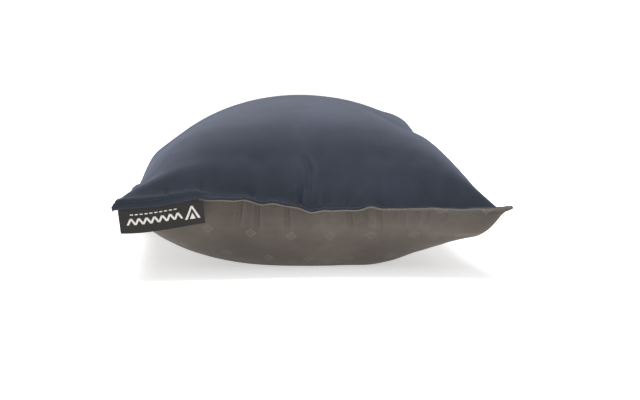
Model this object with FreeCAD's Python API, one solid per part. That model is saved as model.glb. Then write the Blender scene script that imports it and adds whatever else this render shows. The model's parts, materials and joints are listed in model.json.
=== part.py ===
import FreeCAD, Part
import math
import os

# Camp pillow, millimetres.  X runs along the short side, Y along the long side,
# the label end faces -Y, +Z is up and the pillow rests on z = 0.

# ---- driving dimensions -------------------------------------------------
HALF_W = 155.5        # half width between the flange edges at mid length
HALF_L = 219.5        # half length between the flange edges at mid width
EAR_X = 14.5          # how far the corners stand out sideways past mid length
EAR_Y = 21.0          # how far the corners stand out lengthways past mid width
BULGE_X = 12.5        # cloth gathered outwards across the width
BULGE_Y = 17.0        # the same along the length
CROWN = 88.5          # height of the crown above the seam line
BELLY = 68.0          # depth of the belly below the seam line before it flattens
CROWN_LEAN = 0.13     # filling sits a little towards +X, above and below the seam
BELLY_LEAN = 0.04
ROUND_TOP = 0.95      # roundness of the cross sections, smaller is fuller
ROUND_BELLY = 0.65
ROUND_ENDS = 0.85
BLUNT_ENDS = 4.6      # how squarely the ends rise
SEAM_Z = 57.5         # seam height at mid length
SEAM_TILT = 6.7       # seam rises towards the label end, falls towards the other
SEAM_SAG = 2.0
DROP_FL = 0.5         # extra droop of the four corners (front/back, left/right)
DROP_FR = 3.0
DROP_BL = 21.0
DROP_BR = 16.0
TUCK_BACK = 6.0       # back corners pulled inwards by the droop
WAVE_UP = 5.0         # the seam at the label end waves up beside the label
WAVE_DOWN = 4.0       # and down at mid width
MOVE_Y = 4.0          # puts the origin midway along the pillow and its tabs
FLANGE = 7.0          # width of the topstitched flange
FLANGE_T = 1.5        # one panel's folded allowance in the flange
PLY_GAP = 0.6         # gap between the two panels inside the flange
CLOTH = 0.8           # panel cloth
CLEAR = 0.3           # clearance between cloth and filling
THREAD_R = 0.28       # sewing thread radius
STITCH_IN = 5.0       # topstitch line, from the flange edge
SEAM_IN = 2.6         # assembly seam, from the flange edge
CLOSE_IN = 2.9        # closing seam, from the flange edge
CLOSE_LEN = 120.0     # length of the closed filling opening
LABEL_W, LABEL_H, LABEL_T = 72.0, 21.0, 0.5
LABEL_X0 = -165.0     # left end of the woven label
CARE_W, CARE_H, CARE_T = 26.0, 34.0, 0.35
CARE_X0 = 62.0
HINGE_GAP = 0.55      # label face to flange edge at the closest point

V = FreeCAD.Vector
FU = FLANGE / (HALF_W + EAR_X)
FV = FLANGE / (HALF_L + EAR_Y)


def sgn(a):
    return -1.0 if a < 0 else 1.0


def corner(u, v, su, sv, s=0.42):
    return math.exp(-(((su - u) / s) ** 2 + ((sv - v) / s) ** 2))


def seam_z(u, v):
    z = SEAM_Z - SEAM_TILT * v - SEAM_SAG * v * v
    z -= DROP_FL * corner(u, v, -1, -1) + DROP_FR * corner(u, v, 1, -1)
    z -= DROP_BL * corner(u, v, -1, 1) + DROP_BR * corner(u, v, 1, 1)
    end = math.exp(-(((v + 1) / 0.3) ** 2))
    z += end * WAVE_UP * math.exp(-(((u + 0.54) / 0.2) ** 2))
    z -= end * WAVE_DOWN * math.exp(-(((u - 0.02) / 0.22) ** 2))
    return z


def plan(u, v):
    x = (HALF_W + EAR_X * abs(v) ** 2.3) * u
    x += BULGE_X * (1 - v * v) * math.sin(math.pi * u)
    ear = math.sin(0.5 * math.pi * min(1.0, abs(u)) ** 1.25) ** 2
    y = (HALF_L + EAR_Y * ear) * v
    y += (1 - u * u) * (BULGE_Y * math.sin(math.pi * v) - 4 * math.sin(2 * math.pi * v))
    t = TUCK_BACK * (corner(u, v, -1, 1) + corner(u, v, 1, 1))
    return x - t * sgn(u) * abs(u), y - t * max(0.0, v) + MOVE_Y


def loft(u, v, roundness):
    """0 on the flange, 1 at the middle of the pillow"""
    a = 1 - min(1.0, abs(u) / (1 - FU)) ** 2
    b = 1 - min(1.0, abs(v) / (1 - FV)) ** BLUNT_ENDS
    if a <= 1e-9 or b <= 1e-9:
        return 0.0
    a, b = a ** roundness, b ** ROUND_ENDS
    return 1 / math.sqrt(a ** -2 + b ** -2 - 1)


def soft(h, r=3.0):
    return math.sqrt(h * h + r * r) - r


def top_out(u, v):
    x, y = plan(u, v)
    return V(x, y, seam_z(u, v) + PLY_GAP / 2 + FLANGE_T + soft(CROWN * (1 + CROWN_LEAN * u) * loft(u, v, ROUND_TOP)))


def bot_out(u, v):
    x, y = plan(u, v)
    return V(x, y, seam_z(u, v) - PLY_GAP / 2 - FLANGE_T - soft(BELLY * (1 + BELLY_LEAN * u) * loft(u, v, ROUND_BELLY)))


def mid(dz):
    def f(u, v):
        x, y = plan(u, v)
        return V(x, y, seam_z(u, v) + dz)
    return f


def offset(f, d):
    """surface moved by d along its upward normal"""
    def g(u, v):
        e = 1e-3
        u0, u1 = max(-1, u - e), min(1, u + e)
        v0, v1 = max(-1, v - e), min(1, v + e)
        n = (f(u1, v) - f(u0, v)).cross(f(u, v1) - f(u, v0))
        n.normalize()
        return f(u, v) + n * d
    return g


def stations(half, from_edge):
    """station values -1..1 from distances in mm off the edge"""
    s = [1 - k / half for k in from_edge if k < half * 0.95]
    return [-k for k in s] + [0.0] + s[::-1]


HU, HV = HALF_W + EAR_X, HALF_L + EAR_Y
INNER_U = [24, 34, 47, 62, 80, 100, 122, 146]
INNER_V = INNER_U + [172, 198, 222]
RIM = [0, 3.2, 5.6, 6.6, 7.4, 8.4, 10, 12.5, 17]
RIM_IN = [7.6, 8.5, 10, 12.5, 17]
RIM_FILL = [9.4, 10.5, 13, 17]
U_OUT, V_OUT = stations(HU, RIM + INNER_U), stations(HV, RIM + INNER_V)
U_IN, V_IN = stations(HU, RIM_IN + INNER_U), stations(HV, RIM_IN + INNER_V)
U_FILL, V_FILL = stations(HU, RIM_FILL + INNER_U), stations(HV, RIM_FILL + INNER_V)


def knots(t, degree=3):
    """knots that put each control point over its own station"""
    n = len(t)
    inner = [sum(t[k:k + degree]) / degree for k in range(1, n - degree)]
    return [t[0]] + inner + [t[-1]], [degree + 1] + [1] * len(inner) + [degree + 1]


def skin(f, us, vs):
    ku, mu = knots(us)
    kv, mv = knots(vs)
    s = Part.BSplineSurface()
    s.buildFromPolesMultsKnots([[f(u, v) for v in vs] for u in us], mu, mv, ku, kv, False, False, 3, 3)
    return s


def block(fa, fb, us, vs):
    """closed solid between two surfaces over the same stations"""
    a, b = skin(fa, us, vs), skin(fb, us, vs)
    ua, ub = a.bounds(), b.bounds()
    faces = [a.toShape(), b.toShape()]
    for k in (0, 1):
        faces.append(Part.makeRuledSurface(a.uIso(ua[k]).toShape(), b.uIso(ub[k]).toShape()))
        faces.append(Part.makeRuledSurface(a.vIso(ua[2 + k]).toShape(), b.vIso(ub[2 + k]).toShape()))
    sh = Part.makeShell(faces)
    sh.sewShape()
    so = Part.Solid(sh.Shells[0] if sh.Shells else sh)
    if so.Volume < 0:
        so.reverse()
    return so


def slab(z0, z1):
    return Part.makeBox(900, 900, z1 - z0, V(-450, -450, z0))


def one(shape):
    s = sorted(shape.Solids, key=lambda q: -q.Volume)[0]
    return s


# ---- panels and filling -------------------------------------------------
half_gap = PLY_GAP / 2
top_body = block(top_out, mid(half_gap), U_OUT, V_OUT)
top_hole = block(offset(top_out, -CLOTH), mid(half_gap - 3.0), U_IN, V_IN)
top_panel = one(top_body.cut(top_hole))

bot_body = block(bot_out, mid(-half_gap), U_OUT, V_OUT).common(slab(0, 300))
bot_hole = block(offset(bot_out, CLOTH), mid(-half_gap + 3.0), U_IN, V_IN).common(slab(CLOTH, 300))
bottom_panel = one(bot_body.cut(bot_hole))

fibre_fill = one(block(offset(top_out, -CLOTH - CLEAR), offset(bot_out, CLOTH + CLEAR),
                       U_FILL, V_FILL).common(slab(CLOTH + CLEAR, 300)))


# ---- threads ------------------------------------------------------------
def edge_point(side, s, inset):
    """(u, v) on a side of the pillow, inset in mm from the flange edge"""
    iu, iv = inset / HU, inset / HV
    return {"front": (s, -1 + iv), "back": (s, 1 - iv),
            "left": (-1 + iu, s), "right": (1 - iu, s)}[side]


def ring(inset, r, n=150):
    """rounded-rectangle path in (u, v) once round the pillow, inset from the
    flange edge; it starts and ends, 1 mm apart, at the middle of the +Y side"""
    a, b = HU - inset, HV - inset
    path = []
    sides = [((-0.5, b), (-a + r, b)), ((-a, b - r), (-a, -b + r)), ((-a + r, -b), (a - r, -b)),
             ((a, -b + r), (a, b - r)), ((a - r, b), (0.5, b))]
    centres = [(-a + r, b - r, 90), (-a + r, -b + r, 180), (a - r, -b + r, 270), (a - r, b - r, 0), None]
    for (p, q), centre in zip(sides, centres):
        m = max(6, int(n * math.hypot(q[0] - p[0], q[1] - p[1]) / (4 * (a + b))))
        for k in range(m):
            t = k / m
            path.append((p[0] + (q[0] - p[0]) * t, p[1] + (q[1] - p[1]) * t))
        if centre is None:
            path.append(q)
            break
        cx, cy, a0 = centre
        for k in range(5):
            t = math.radians(a0 + 90 * k / 5)
            path.append((cx + r * math.cos(t), cy + r * math.sin(t)))
    return [(x / HU, y / HV) for x, y in path]


def tube(points, radius, sides=6):
    """thread of a many-sided section along the points"""
    rings = []
    for k, p in enumerate(points):
        t = points[min(k + 1, len(points) - 1)] - points[max(k - 1, 0)]
        t.normalize()
        n = t.cross(V(0, 0, 1))
        n.normalize()
        b = n.cross(t)
        rings.append([p + n * (radius * math.cos(2 * math.pi * q / sides))
                      + b * (radius * math.sin(2 * math.pi * q / sides)) for q in range(sides)])
    edges = []
    for q in range(sides):
        c = Part.BSplineCurve()
        k, m = knots(list(range(len(rings))))
        c.buildFromPolesMultsKnots([r[q] for r in rings], m, k, False, 3)
        edges.append(c.toShape())
    faces = [Part.makeRuledSurface(edges[q], edges[(q + 1) % sides]) for q in range(sides)]
    for r in (rings[0], rings[-1]):
        faces.append(Part.Face(Part.makePolygon(r + [r[0]])))
    sh = Part.makeShell(faces)
    sh.sewShape()
    s = Part.Solid(sh.Shells[0] if sh.Shells else sh)
    if s.Volume < 0:
        s.reverse()
    return s


seam_skin = skin(mid(0.0), U_OUT, V_OUT)


def on_flange(u, v, dz):
    return seam_skin.value(u, v) + V(0, 0, dz)


lift = half_gap + FLANGE_T + THREAD_R + 0.15
topstitch_top = tube([on_flange(u, v, lift) for u, v in ring(STITCH_IN, 6.0)], THREAD_R)
topstitch_bottom = tube([on_flange(u, v, -lift) for u, v in ring(STITCH_IN, 6.0)], THREAD_R)
seam_thread = tube([on_flange(u, v, 0.0) for u, v in ring(SEAM_IN, 4.0)], 0.15)

# short closing row on the side away from the label, over the filling opening
close_u = CLOSE_LEN / 2 / HALF_W
row = []
for k in range(31):
    u, v = edge_point("back", -close_u + 2 * close_u * k / 30, CLOSE_IN)
    row.append(on_flange(u, v, -half_gap - FLANGE_T - 0.22 - 0.15))
closing_thread = tube(row, 0.22)


# ---- labels -------------------------------------------------------------
def u_at_x(v, x):
    lo, hi = -1.0, 1.0
    for _ in range(60):
        m = 0.5 * (lo + hi)
        if plan(m, v)[0] < x:
            lo = m
        else:
            hi = m
    return 0.5 * (lo + hi)


def hanging(v, x0, width, height, thick):
    """flat tab hanging from the flange edge; returns solid, hinge point and axis"""
    u0, u1 = u_at_x(v, x0), u_at_x(v, x0 + width)
    p, q = mid(0.0)(u0, v), mid(0.0)(u1, v)
    axis = q - p
    axis.normalize()
    down = V(0, 0, -1) - axis * (-axis.z)
    down.normalize()
    out = axis.cross(down)
    if out.y * v < 0:
        out = out * -1
    reach = max((mid(0.0)(u0 + (u1 - u0) * k / 40, v) - p).dot(out) for k in range(41))
    base = p + out * (reach + HINGE_GAP)
    a, b = base, base + axis * width
    c, d = b + down * height, a + down * height
    face = Part.Face(Part.makePolygon([a, b, c, d, a]))
    return face.extrude(out * thick), base + out * (thick / 2), axis


side_label, side_pos, side_axis = hanging(-1.0, LABEL_X0, LABEL_W, LABEL_H, LABEL_T)
care_label, care_pos, care_axis = hanging(1.0, CARE_X0, CARE_W, CARE_H, CARE_T)

nodes = {
    "top_panel": top_panel,
    "bottom_panel": bottom_panel,
    "fibre_fill": fibre_fill,
    "seam_thread": seam_thread,
    "topstitch_needle_thread": topstitch_top,
    "topstitch_bobbin_thread": topstitch_bottom,
    "closing_thread": closing_thread,
    "woven_side_label": side_label,
    "care_label": care_label,
}

os.makedirs("parts", exist_ok=True)
for name, s in nodes.items():
    bb = s.BoundBox
    print(name, s.ShapeType, "valid", s.isValid(), "solids", len(s.Solids), "vol %.1f" % s.Volume,
          "x %.1f %.1f y %.1f %.1f z %.1f %.1f" % (bb.XMin, bb.XMax, bb.YMin, bb.YMax, bb.ZMin, bb.ZMax))
    s.exportStep("parts/" + name + ".step")
print("side hinge", tuple(side_pos), tuple(side_axis))
print("care hinge", tuple(care_pos), tuple(care_axis))
box = Part.makeCompound([top_panel, bottom_panel, side_label, care_label])
box.tessellate(0.5)
bb = box.BoundBox
print("all x %.2f %.2f y %.2f %.2f z %.2f %.2f" % (bb.XMin, bb.XMax, bb.YMin, bb.YMax, bb.ZMin, bb.ZMax))
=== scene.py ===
import bpy
import json
import math
import numpy as np
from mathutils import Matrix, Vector


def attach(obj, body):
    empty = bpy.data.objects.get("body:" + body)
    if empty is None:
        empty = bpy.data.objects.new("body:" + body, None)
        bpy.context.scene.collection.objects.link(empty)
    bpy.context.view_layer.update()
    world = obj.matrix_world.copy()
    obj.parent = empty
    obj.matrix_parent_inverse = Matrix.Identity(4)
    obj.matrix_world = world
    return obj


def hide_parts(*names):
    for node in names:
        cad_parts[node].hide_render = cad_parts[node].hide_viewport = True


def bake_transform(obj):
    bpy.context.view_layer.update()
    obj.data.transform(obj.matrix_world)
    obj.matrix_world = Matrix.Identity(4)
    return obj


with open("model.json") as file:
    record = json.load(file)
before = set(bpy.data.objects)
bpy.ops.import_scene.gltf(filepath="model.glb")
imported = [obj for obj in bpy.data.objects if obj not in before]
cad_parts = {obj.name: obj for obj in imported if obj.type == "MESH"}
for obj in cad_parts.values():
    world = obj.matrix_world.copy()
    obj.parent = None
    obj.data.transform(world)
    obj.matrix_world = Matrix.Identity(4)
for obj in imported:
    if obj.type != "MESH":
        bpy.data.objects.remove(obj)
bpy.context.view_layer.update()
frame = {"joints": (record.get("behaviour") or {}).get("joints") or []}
scene = bpy.context.scene

# ------------------------------------------------------------------ the form
# the same form as the CAD panels, in millimetres, over (u, v) in -1..1
HALF_W, HALF_L, EAR_X, EAR_Y = 155.5, 219.5, 14.5, 21.0
BULGE_X, BULGE_Y, CROWN, BELLY = 12.5, 17.0, 88.5, 68.0
CROWN_LEAN, BELLY_LEAN = 0.13, 0.04
ROUND_TOP, ROUND_BELLY, ROUND_ENDS, BLUNT_ENDS = 0.95, 0.65, 0.85, 4.6
SEAM_Z, SEAM_TILT, SEAM_SAG = 57.5, 6.7, 2.0
DROPS = ((-1, -1, 0.5), (1, -1, 3.0), (-1, 1, 21.0), (1, 1, 16.0))
TUCK_BACK, WAVE_UP, WAVE_DOWN, MOVE_Y, FLANGE = 6.0, 5.0, 4.0, 4.0, 7.0
FU, FV = FLANGE / (HALF_W + EAR_X), FLANGE / (HALF_L + EAR_Y)

# flat size of the finished panels, metres
FLAT_W, FLAT_L = 0.352, 0.500


def corner(u, v, su, sv, s=0.42):
    return np.exp(-(((su - u) / s) ** 2 + ((sv - v) / s) ** 2))


def bump(x, c, w):
    return np.exp(-(((x - c) / w) ** 2))


def step01(a, b, x):
    t = np.clip((x - a) / (b - a), 0, 1)
    return t * t * (3 - 2 * t)


def droop_angle(X, Y):
    """radians below the seam's own plane, by place round the edge, metres"""
    deg = 22 + 7 * np.sin(X * 37 + 1.0) + 6 * np.sin(Y * 29)
    front = bump(Y / (FLAT_L / 2), -1, 0.10)
    target = 24 + 54 * step01(-0.085, -0.108, X) - 14 * step01(-0.03, 0.02, X) - 18 * step01(0.03, 0.07, X) - 18 * step01(0.085, 0.125, X) - 8 * step01(0.155, 0.172, X)
    return np.radians(deg * (1 - front) + target * front)


# small rises and falls of the front edge, x and dz in mm
# how much higher or lower the front and back humps of the filling lie, mm over u
FRONT_U = [-1, 0.0, 0.15, 0.30, 0.42, 0.50, 0.57, 0.62, 0.67, 0.74, 0.82, 1]
FRONT_DZ = [0, 0, -0.5, -2.5, -5.5, -7.0, -3.5, -0.5, 2.0, 3.5, 2.0, 0]
BACK_U = [-1, 0.2, 0.35, 0.46, 0.53, 0.58, 0.63, 0.68, 0.72, 0.77, 0.84, 1]
BACK_DZ = [0, 0, 1.0, 2.6, 5.0, 8.2, 10.0, 10.5, 2.0, -8.0, -11.0, -6.0]
SHOULDER_U = [-1, -0.90, -0.82, -0.74, -0.66, -0.53, -0.40, -0.25, 0, 1]
SHOULDER_DZ = [0, 2.0, 6.5, 10.5, 11.5, 10.0, 6.0, 2.0, 0, 0]
BELLY_U = [-1, -0.8, -0.6, -0.45, -0.2, 0, 0.2, 0.32, 0.45, 0.56, 0.7, 0.85, 1]
BELLY_DZ = [0, -2.5, -1.8, -1.3, -0.4, 0, -0.8, -3.0, -2.8, -1.2, -2.2, -2.0, 0]
EDGE_X = [-175, -80, -70, -57, -43, -30, -17, -8, 0, 12, 26, 36, 44, 52, 61, 75, 88, 105, 130, 142, 175]
EDGE_DZ = [-1.2, 1.2, 1.7, 3.2, 1.9, 2.6, 1.8, 0.6, -1.6, -0.8, -1.6, -2.4, -2.2, -0.6, -2.2, -2.4, -1.8, -0.9, -0.9, 0, 0]


def form(u, v):
    """top and bottom sheet, metres, shape (3, 2, ...)"""
    z = SEAM_Z - SEAM_TILT * v - SEAM_SAG * v * v
    for su, sv, d in DROPS:
        z = z - d * corner(u, v, su, sv)
    end = bump(v, -1, 0.3)
    z = z + end * WAVE_UP * bump(u, -0.54, 0.2) - end * WAVE_DOWN * bump(u, 0.02, 0.22)
    x = (HALF_W + EAR_X * np.abs(v) ** 2.3) * u + BULGE_X * (1 - v * v) * np.sin(np.pi * u)
    ear = np.sin(0.5 * np.pi * np.minimum(1, np.abs(u)) ** 1.25) ** 2
    y = (HALF_L + EAR_Y * ear) * v
    y = y + (1 - u * u) * (BULGE_Y * np.sin(np.pi * v) - 4 * np.sin(2 * np.pi * v))
    t = TUCK_BACK * (corner(u, v, -1, 1) + corner(u, v, 1, 1))
    x, y = x - t * u, y - t * np.maximum(0, v) + MOVE_Y
    x = x + 13.0 * corner(u, v, -1, 1, 0.27) - 3.5 * corner(u, v, -1, -1, 0.12) + 3.2 * corner(u, v, 1, -1, 0.12)
    z = z - 6.0 * corner(u, v, -1, 1, 0.25)
    # the flange pivots about its outer edge where it turns down
    e = np.minimum((1 - np.abs(u)) * FLAT_W, (1 - np.abs(v)) * FLAT_L) * 500
    z = z + FLANGE * np.sin(droop_angle(u * FLAT_W / 2, v * FLAT_L / 2)) * np.exp(-((e / 45) ** 2))
    z = z + bump(v, -1, 0.05) * np.interp(x, EDGE_X, EDGE_DZ)
    # the right side hangs beside its upturned front corner; the far left side tucks in
    z = z + 2.0 * corner(u, v, 1, -1, 0.07) - bump(u, 1, 0.12) * (9.0 * bump(v, -0.80, 0.10) + 3.5 * bump(v, -0.62, 0.12))
    z = z - 5.0 * bump(u, -1, 0.12) * bump(v, 0.33, 0.30) - 3.5 * bump(u, -1, 0.10) * bump(v, -0.20, 0.38)
    x = x + 4.0 * bump(u, -1, 0.15) * bump(v, 0.35, 0.35)
    a = 1 - np.minimum(1, np.abs(u) / (1 - FU)) ** 2
    b = 1 - np.minimum(1, np.abs(v) / (1 - FV)) ** BLUNT_ENDS
    ok = (a > 1e-9) & (b > 1e-9)
    a, b = np.where(ok, a, 1), np.where(ok, b, 1)

    def loft(r):
        return np.where(ok, 1 / np.sqrt(a ** (-2 * r) + b ** (-2 * ROUND_ENDS) - 1), 0)

    def soft(h, r=3.0):
        return np.sqrt(h * h + r * r) - r

    lt, lb = loft(ROUND_TOP), loft(ROUND_BELLY)
    # the filling lies in two humps, with a slanting valley between them
    on = np.clip(lt / 0.35, 0, 1)
    hump = np.interp(u, FRONT_U, FRONT_DZ) * bump(v, -0.36, 0.24)
    hump = hump + np.interp(u, BACK_U, BACK_DZ) * bump(v, 0.24, 0.26)
    hump = hump - 4.5 * bump(v, -0.13, 0.075) * step01(0.10, 0.60, u) * step01(1.0, 0.85, u)
    hump = hump + 2.6 * bump(u, -0.74, 0.10) * bump(v, 0.05, 0.42) - 4.0 * bump(u, -0.96, 0.06) * bump(v, 0.0, 0.6)
    hump = hump + 3.0 * bump(u, -0.83, 0.07) * bump(v, 0.20, 0.35)
    hump = hump - 10.0 * bump(u, 0.95, 0.10) * bump(v, -0.80, 0.42)
    # the left shoulder stands up behind the front face
    hump = hump + np.interp(u, SHOULDER_U, SHOULDER_DZ) * np.where(v < -0.66, bump(v, -0.66, 0.18), bump(v, -0.66, 0.36))
    # the ridge that runs up from the front left corner, and its hollow side
    rl = u + 0.93 - 0.36 * (v + 1)
    hump = hump + (2.2 * bump(rl, 0.0, 0.030) - 2.6 * bump(rl, -0.062, 0.035)) * step01(-1.0, -0.85, v) * step01(-0.25, -0.62, v)
    top = z + 0.7 + soft(CROWN * (1 + CROWN_LEAN * u) * lt) + hump * on
    bot = z - 0.7 - soft(BELLY * (1 + BELLY_LEAN * u) * lb)
    bot = bot + np.interp(u, BELLY_U, BELLY_DZ) * bump(v, -0.58, 0.34) * np.clip(lb / 0.18, 0, 1)
    bot = bot - 8.6 * bump(u, 0.89, 0.13) * bump(v, -0.60, 0.48) * np.clip(lb / 0.18, 0, 1)
    P = np.empty((3, 2) + np.shape(u))
    P[0], P[1], P[2, 0], P[2, 1] = x, y, top, np.maximum(bot, 0.5)
    fl = ~ok
    m = P[2].mean(0)
    P[2, 0][fl] = m[fl]
    P[2, 1][fl] = m[fl]
    return P / 1000


# ------------------------------------------------- relaxing the sewn cloth
class Cloth:
    """Two square-grid sheets welded along their flange.  Springs along, across
    and on the diagonals, bending, filling pressure, weight, a floor at z = 0
    and a weak pull to the stuffed form, relaxed with viscous damping."""

    def __init__(s, h):
        s.grid(h)
        s.P = form(s.U, s.Vv)
        s.V = np.zeros_like(s.P)
        s.rest()

    def grid(s, h):
        s.nx, s.ny = int(round(FLAT_W / h)), int(round(FLAT_L / h))
        s.x = np.linspace(-FLAT_W / 2, FLAT_W / 2, s.nx + 1)
        s.y = np.linspace(-FLAT_L / 2, FLAT_L / 2, s.ny + 1)
        X, Y = np.meshgrid(s.x, s.y, indexing="ij")
        s.X, s.Y = X, Y
        s.U, s.Vv = X / (FLAT_W / 2), Y / (FLAT_L / 2)
        s.inset = np.minimum(FLAT_W / 2 - abs(X), FLAT_L / 2 - abs(Y)) - FLANGE / 1000
        s.weld = s.inset <= 1e-6
        s.target = form(s.U, s.Vv)

    def rest(s):
        """rest lengths: the stuffed form's own, eased so that the seam is gathered"""
        T = s.target
        inset = np.clip(s.inset, 0, None)
        near = np.exp(-inset / 0.022)
        # how strongly the seam is gathered, in irregular clusters along each side
        along_x = 0.62 + 0.38 * np.sin(s.X * 61 + 0.8) * np.sin(s.X * 23 - 0.4)
        along_y = 0.62 + 0.38 * np.sin(s.Y * 53 + 2.1) * np.sin(s.Y * 19 + 0.3)
        slack = 0.006
        gx = slack + 0.070 * near * along_x
        gy = slack + 0.070 * near * along_y

        def length(A, B):
            return np.sqrt(((B - A) ** 2).sum(0))

        def avg(g, ax):
            return 0.5 * (np.take(g, range(0, g.shape[ax] - 1), ax) + np.take(g, range(1, g.shape[ax]), ax))

        A = slice(None)
        s.rx = length(T[:, :, :-1], T[:, :, 1:]) * (1 + avg(gx, 0))
        s.ry = length(T[:, :, :, :-1], T[:, :, :, 1:]) * (1 + avg(gy, 1))
        g = 0.5 * (gx + gy)[:-1, :-1]
        s.rd1 = length(T[:, :, :-1, :-1], T[:, :, 1:, 1:]) * (1 + g)
        s.rd2 = length(T[:, :, 1:, :-1], T[:, :, :-1, 1:]) * (1 + g)

    def refine(s, h):
        f = Field(s.x, s.y, s.P)
        s.grid(h)
        s.P = f.at(s.X.ravel(), s.Y.ravel()).reshape(3, 2, s.nx + 1, s.ny + 1)
        m = s.P.mean(1)
        for k in (0, 1):
            s.P[:, k][:, s.weld] = m[:, s.weld]
        s.V = np.zeros_like(s.P)
        s.rest()

    def spring(s, F, a, b, rest, k):
        d = s.P[b] - s.P[a]
        d *= k * (1 - rest / np.sqrt((d * d).sum(0)))
        F[a] += d
        F[b] -= d

    def relax(s, n, pull=0.004, press=0.10, k=0.25, kd=0.08, kb=0.012, damp=0.985):
        A = slice(None)
        w = pull * (1 - 0.6 * np.exp(-np.clip(s.inset, 0, None) / 0.025))[None, None]
        w = np.where(s.weld[None, None], pull * 2.0, w)
        for _ in range(n):
            P = s.P
            F = w * (s.target - P)
            s.spring(F, (A, A, slice(0, -1)), (A, A, slice(1, None)), s.rx, k)
            s.spring(F, (A, A, A, slice(0, -1)), (A, A, A, slice(1, None)), s.ry, k)
            s.spring(F, (A, A, slice(0, -1), slice(0, -1)), (A, A, slice(1, None), slice(1, None)), s.rd1, kd)
            s.spring(F, (A, A, slice(1, None), slice(0, -1)), (A, A, slice(0, -1), slice(1, None)), s.rd2, kd)
            for ax in (2, 3):
                c = np.diff(P, 2, axis=ax) * kb
                lo, mi, hi = [A] * 4, [A] * 4, [A] * 4
                lo[ax], mi[ax], hi[ax] = slice(0, -2), slice(1, -1), slice(2, None)
                F[tuple(lo)] -= c
                F[tuple(mi)] += 2 * c
                F[tuple(hi)] -= c
            n_ = sheet_normals(P)
            F += press * n_
            F[2] -= 1e-8
            s.V = damp * s.V + F
            m = s.V.mean(1)
            for q in (0, 1):
                s.V[:, q][:, s.weld] = m[:, s.weld]
            P += s.V
            low = P[2] < 0
            if low.any():
                P[2][low] = 0
                for c in range(3):
                    s.V[c][low] *= 0 if c == 2 else 0.5


def sheet_normals(P):
    """area-weighted outward normals of both sheets"""
    du, dv = np.gradient(P, axis=2), np.gradient(P, axis=3)
    n = np.stack([du[1] * dv[2] - du[2] * dv[1], du[2] * dv[0] - du[0] * dv[2], du[0] * dv[1] - du[1] * dv[0]])
    n[:, 1] *= -1
    return n


class Field:
    """smooth interpolation of grid values over the flat cloth coordinates"""

    def __init__(s, x, y, A):
        s.x, s.y, s.A = x, y, A.reshape(-1, len(x), len(y))

    @staticmethod
    def weights(g, q):
        h = g[1] - g[0]
        i = np.clip(((q - g[0]) / h).astype(int), 0, len(g) - 2)
        t = (q - g[i]) / h
        w = 0.5 * np.stack([-t + 2 * t**2 - t**3, 2 - 5 * t**2 + 3 * t**3, t + 4 * t**2 - 3 * t**3, -(t**2) + t**3])
        idx = np.stack([i - 1, i, i + 1, i + 2])
        # linear continuation past the ends
        lo, hi = idx[0] < 0, idx[3] > len(g) - 1
        w[1][lo] += 2 * w[0][lo]
        w[2][lo] -= w[0][lo]
        w[0][lo] = 0
        w[2][hi] += 2 * w[3][hi]
        w[1][hi] -= w[3][hi]
        w[3][hi] = 0
        return w, np.clip(idx, 0, len(g) - 1)

    def at(s, X, Y):
        wx, ix = s.weights(s.x, X)
        wy, iy = s.weights(s.y, Y)
        out = np.zeros((s.A.shape[0], len(X)))
        for a in range(4):
            for b in range(4):
                out += s.A[:, ix[a], iy[b]] * (wx[a] * wy[b])
        return out


cloth = Cloth(0.0070)
cloth.relax(150)
cloth.refine(0.0035)
cloth.relax(260)
cloth.refine(0.0024)
cloth.relax(220)

# ------------------------------------------------------- surface evaluation
P = cloth.P.copy()
HX, HY = FLAT_W / 2, FLAT_L / 2


def polyline_distance(X, Y, pts):
    """distance and position 0..1 along a polyline in cloth coordinates"""
    pts = np.asarray(pts, float)
    best, where = np.full(X.shape, 9.0), np.zeros(X.shape)
    side = np.zeros(X.shape)
    seg = np.sqrt((np.diff(pts, axis=0) ** 2).sum(1))
    acc = np.r_[0, np.cumsum(seg)] / seg.sum()
    for k in range(len(pts) - 1):
        ax, ay = pts[k]
        bx, by = pts[k + 1]
        t = np.clip(((X - ax) * (bx - ax) + (Y - ay) * (by - ay)) / (seg[k] ** 2), 0, 1)
        dx, dy = X - (ax + t * (bx - ax)), Y - (ay + t * (by - ay))
        d = np.hypot(dx, dy)
        m = d < best
        best = np.where(m, d, best)
        where = np.where(m, acc[k] + t * (acc[k + 1] - acc[k]), where)
        side = np.where(m, np.sign(dx * (by - ay) - dy * (bx - ax)), side)
    return best * np.where(side == 0, 1, side), where


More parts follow.
